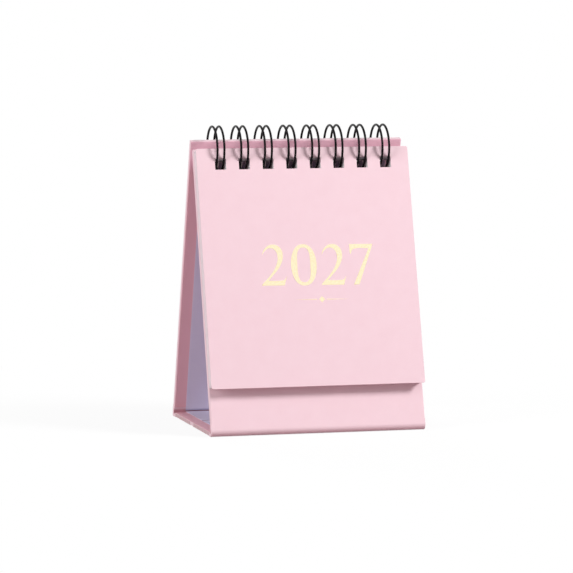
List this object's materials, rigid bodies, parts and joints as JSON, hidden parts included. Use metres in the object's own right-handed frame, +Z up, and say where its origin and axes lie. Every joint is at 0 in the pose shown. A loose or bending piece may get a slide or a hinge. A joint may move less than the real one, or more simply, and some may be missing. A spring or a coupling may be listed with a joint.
{
  "type": "desk calendar",
  "caption": "Small tent-shaped desk calendar of wrapped board that folds at its creased base, with punched sheets and a cover that flip over on a twin-loop wire binding.",
  "frame": {"origin": "centre of the whole part in plan, on the surface that it stands on", "axes": "+Z up along the part's height, -Y towards the viewer of the cover, +X to that viewer's right"},
  "size_m": [0.0762, 0.06, 0.1052],
  "materials": {
    "front_board": "grey board",
    "front_wrap": "matte coated wrap",
    "front_liner": "uncoated liner",
    "back_board": "grey board",
    "back_wrap": "matte coated wrap",
    "back_liner": "uncoated liner",
    "base_front_board": "grey board",
    "base_front_wrap": "matte coated wrap",
    "base_front_liner": "uncoated liner",
    "base_rear_board": "grey board",
    "base_rear_wrap": "matte coated wrap",
    "base_rear_liner": "uncoated liner",
    "front_hinge_paper": "matte coated wrap, folded",
    "rear_hinge_paper": "matte coated wrap, folded",
    "base_front_flap": "matte coated wrap, folded",
    "base_rear_flap": "matte coated wrap, folded",
    "wire_binding": "black coated wire",
    "month_sheet_01": "uncoated white",
    "month_sheet_02": "uncoated white",
    "month_sheet_03": "uncoated white",
    "month_sheet_04": "uncoated white",
    "month_sheet_05": "uncoated white",
    "month_sheet_06": "uncoated white",
    "month_sheet_07": "uncoated white",
    "month_sheet_08": "uncoated white",
    "month_sheet_09": "uncoated white",
    "month_sheet_10": "uncoated white",
    "month_sheet_11": "uncoated white",
    "month_sheet_12": "uncoated white",
    "cover_sheet": "matte coated card"
  },
  "bodies": {
    "front_panel": {"front_board": "front_board", "front_wrap": "front_wrap", "front_liner": "front_liner", "front_hinge_paper": "front_hinge_paper", "wire_binding": "wire_binding"},
    "back_panel": {"back_board": "back_board", "back_wrap": "back_wrap", "back_liner": "back_liner", "rear_hinge_paper": "rear_hinge_paper"},
    "base_front": {"base_front_board": "base_front_board", "base_front_wrap": "base_front_wrap", "base_front_liner": "base_front_liner", "base_front_flap": "base_front_flap"},
    "base_rear": {"base_rear_board": "base_rear_board", "base_rear_wrap": "base_rear_wrap", "base_rear_liner": "base_rear_liner", "base_rear_flap": "base_rear_flap"},
    "sheet_01": {"month_sheet_01": "month_sheet_01"},
    "sheet_02": {"month_sheet_02": "month_sheet_02"},
    "sheet_03": {"month_sheet_03": "month_sheet_03"},
    "sheet_04": {"month_sheet_04": "month_sheet_04"},
    "sheet_05": {"month_sheet_05": "month_sheet_05"},
    "sheet_06": {"month_sheet_06": "month_sheet_06"},
    "sheet_07": {"month_sheet_07": "month_sheet_07"},
    "sheet_08": {"month_sheet_08": "month_sheet_08"},
    "sheet_09": {"month_sheet_09": "month_sheet_09"},
    "sheet_10": {"month_sheet_10": "month_sheet_10"},
    "sheet_11": {"month_sheet_11": "month_sheet_11"},
    "sheet_12": {"month_sheet_12": "month_sheet_12"},
    "cover": {"cover_sheet": "cover_sheet"}
  },
  "joints": [
    {"name": "stand_fold", "type": "hinge", "parent": "front_panel", "child": "back_panel", "pos_m": [0, -0.00155, 0.09696], "axis": [-1, 0, 0], "range_deg": [0, 8]},
    {"name": "base_front_fold", "type": "hinge", "parent": "front_panel", "child": "base_front", "pos_m": [0, -0.02781, 0.0017], "axis": [1, 0, 0], "range_deg": [0, 40.3], "deforming": ["front_hinge_paper", "base_front_flap"]},
    {"name": "base_rear_fold", "type": "hinge", "parent": "back_panel", "child": "base_rear", "pos_m": [0, 0.02746, 0.0017], "axis": [-1, 0, 0], "range_deg": [0, 40.8], "deforming": ["rear_hinge_paper", "base_rear_flap"]},
    {"name": "pages_lift", "type": "hinge", "parent": "front_panel", "child": "sheet_01", "pos_m": [0, -0.00155, 0.09696], "axis": [-1, 0, 0], "range_deg": [0, 24]},
    {"name": "sheet_02_lift", "type": "hinge", "parent": "front_panel", "child": "sheet_02", "pos_m": [0, -0.00155, 0.09696], "axis": [-1, 0, 0], "range_deg": [0, 22.1]},
    {"name": "sheet_03_lift", "type": "hinge", "parent": "front_panel", "child": "sheet_03", "pos_m": [0, -0.00155, 0.09696], "axis": [-1, 0, 0], "range_deg": [0, 20.1]},
    {"name": "sheet_04_lift", "type": "hinge", "parent": "front_panel", "child": "sheet_04", "pos_m": [0, -0.00155, 0.09696], "axis": [-1, 0, 0], "range_deg": [0, 18.1]},
    {"name": "sheet_05_lift", "type": "hinge", "parent": "front_panel", "child": "sheet_05", "pos_m": [0, -0.00155, 0.09696], "axis": [-1, 0, 0], "range_deg": [0, 16.1]},
    {"name": "sheet_06_lift", "type": "hinge", "parent": "front_panel", "child": "sheet_06", "pos_m": [0, -0.00155, 0.09696], "axis": [-1, 0, 0], "range_deg": [0, 14.1]},
    {"name": "sheet_07_lift", "type": "hinge", "parent": "front_panel", "child": "sheet_07", "pos_m": [0, -0.00155, 0.09696], "axis": [-1, 0, 0], "range_deg": [0, 12.1]},
    {"name": "sheet_08_lift", "type": "hinge", "parent": "front_panel", "child": "sheet_08", "pos_m": [0, -0.00155, 0.09696], "axis": [-1, 0, 0], "range_deg": [0, 10.1]},
    {"name": "sheet_09_lift", "type": "hinge", "parent": "front_panel", "child": "sheet_09", "pos_m": [0, -0.00155, 0.09696], "axis": [-1, 0, 0], "range_deg": [0, 8.1]},
    {"name": "sheet_10_lift", "type": "hinge", "parent": "front_panel", "child": "sheet_10", "pos_m": [0, -0.00155, 0.09696], "axis": [-1, 0, 0], "range_deg": [0, 6.1]},
    {"name": "sheet_11_lift", "type": "hinge", "parent": "front_panel", "child": "sheet_11", "pos_m": [0, -0.00155, 0.09696], "axis": [-1, 0, 0], "range_deg": [0, 4.1]},
    {"name": "sheet_12_lift", "type": "hinge", "parent": "front_panel", "child": "sheet_12", "pos_m": [0, -0.00155, 0.09696], "axis": [-1, 0, 0], "range_deg": [0, 2.1]},
    {"name": "cover_flip", "type": "hinge", "parent": "sheet_01", "child": "cover", "pos_m": [0, -0.00155, 0.09696], "axis": [-1, 0, 0], "range_deg": [0, 170]}
  ],
  "couplings": [
    {"joint": "base_front_fold", "follows": "stand_fold", "ratio": 5.0215},
    {"joint": "base_rear_fold", "follows": "stand_fold", "ratio": 5.087},
    {"joint": "sheet_02_lift", "follows": "pages_lift", "ratio": 0.91667},
    {"joint": "sheet_03_lift", "follows": "pages_lift", "ratio": 0.83333},
    {"joint": "sheet_04_lift", "follows": "pages_lift", "ratio": 0.75},
    {"joint": "sheet_05_lift", "follows": "pages_lift", "ratio": 0.66667},
    {"joint": "sheet_06_lift", "follows": "pages_lift", "ratio": 0.58333},
    {"joint": "sheet_07_lift", "follows": "pages_lift", "ratio": 0.5},
    {"joint": "sheet_08_lift", "follows": "pages_lift", "ratio": 0.41667},
    {"joint": "sheet_09_lift", "follows": "pages_lift", "ratio": 0.33333},
    {"joint": "sheet_10_lift", "follows": "pages_lift", "ratio": 0.25},
    {"joint": "sheet_11_lift", "follows": "pages_lift", "ratio": 0.16667},
    {"joint": "sheet_12_lift", "follows": "pages_lift", "ratio": 0.083333}
  ]
}
